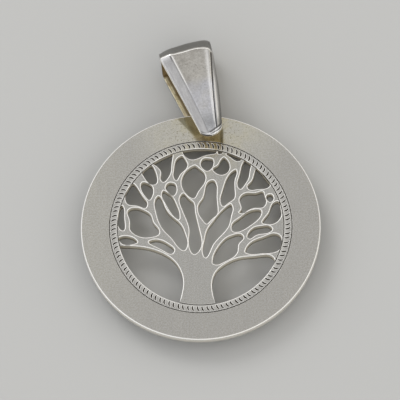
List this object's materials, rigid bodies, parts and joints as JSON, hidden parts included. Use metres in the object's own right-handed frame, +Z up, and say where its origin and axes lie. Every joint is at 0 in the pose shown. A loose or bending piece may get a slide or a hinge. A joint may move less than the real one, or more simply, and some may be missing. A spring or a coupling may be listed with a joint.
{
  "type": "tree of life pendant",
  "caption": "Flat round silver pendant, pierced with a spreading tree inside an engraved rope border, on a tapered folded bail that swings on a post through the rim.",
  "frame": {"origin": "on the ground, under the middle of the whole pendant as it lies face up", "axes": "+X to the right across the disc's face, +Y from the disc's centre towards the bail, +Z up out of the disc's face"},
  "size_m": [0.025, 0.0331, 0.0065],
  "materials": {
    "disc_silver": "worn sterling silver, finely brushed, slightly tarnished",
    "bail_silver": "polished sterling silver, tarnished inside"
  },
  "bodies": {
    "disc": {"tree_disc": "disc_silver"},
    "bail": {"bail": "bail_silver", "bail_post": "bail_silver"}
  },
  "joints": [
    {"name": "bail_swing", "type": "hinge", "parent": "disc", "child": "bail", "pos_m": [0.0005, 0.00696, 0.00198], "axis": [0, 0, 1], "range_deg": [-90, 50]}
  ]
}
